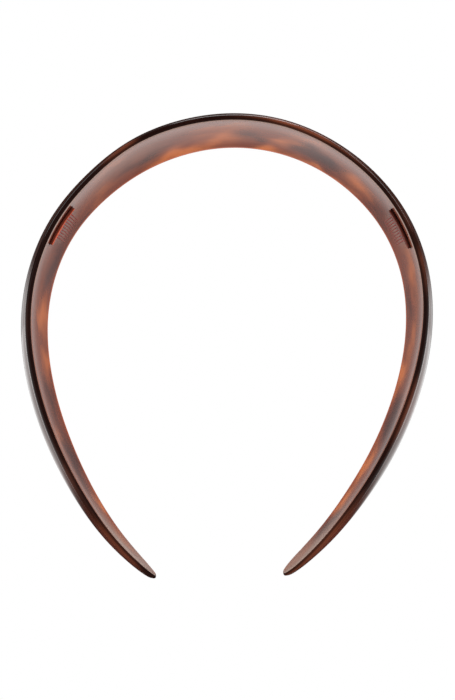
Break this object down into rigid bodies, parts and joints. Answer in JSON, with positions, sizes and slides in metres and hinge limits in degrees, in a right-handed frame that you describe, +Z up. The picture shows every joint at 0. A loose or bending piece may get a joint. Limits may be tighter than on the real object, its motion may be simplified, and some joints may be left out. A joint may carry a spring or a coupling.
{
  "type": "headband",
  "caption": "Wide domed acetate headband that tapers to rounded tips, with a small toothed comb set in the inner face on each side.",
  "frame": {"origin": "middle of the base of the box that holds the headband as it stands on its tips", "axes": "+Z up through the crown, X across the head from the left arm to the right arm as seen from the front, +Y from the front edge to the back edge"},
  "size_m": [0.137, 0.0384, 0.1552],
  "materials": {
    "hoop_acetate": "polished tortoiseshell cellulose acetate, dark brown with amber clouds",
    "comb_acetate": "polished translucent red-brown acetate"
  },
  "bodies": {
    "left_side": {"hoop_left_half": "hoop_acetate", "left_comb": "comb_acetate"},
    "right_side": {"hoop_right_half": "hoop_acetate", "right_comb": "comb_acetate"}
  },
  "joints": [
    {"name": "crown_flex", "type": "hinge", "parent": "left_side", "child": "right_side", "pos_m": [-0.00044, 0, 0.15512], "axis": [0, -1, 0], "range_deg": [0, 20], "stiffness_Nm_per_rad": 1}
  ]
}
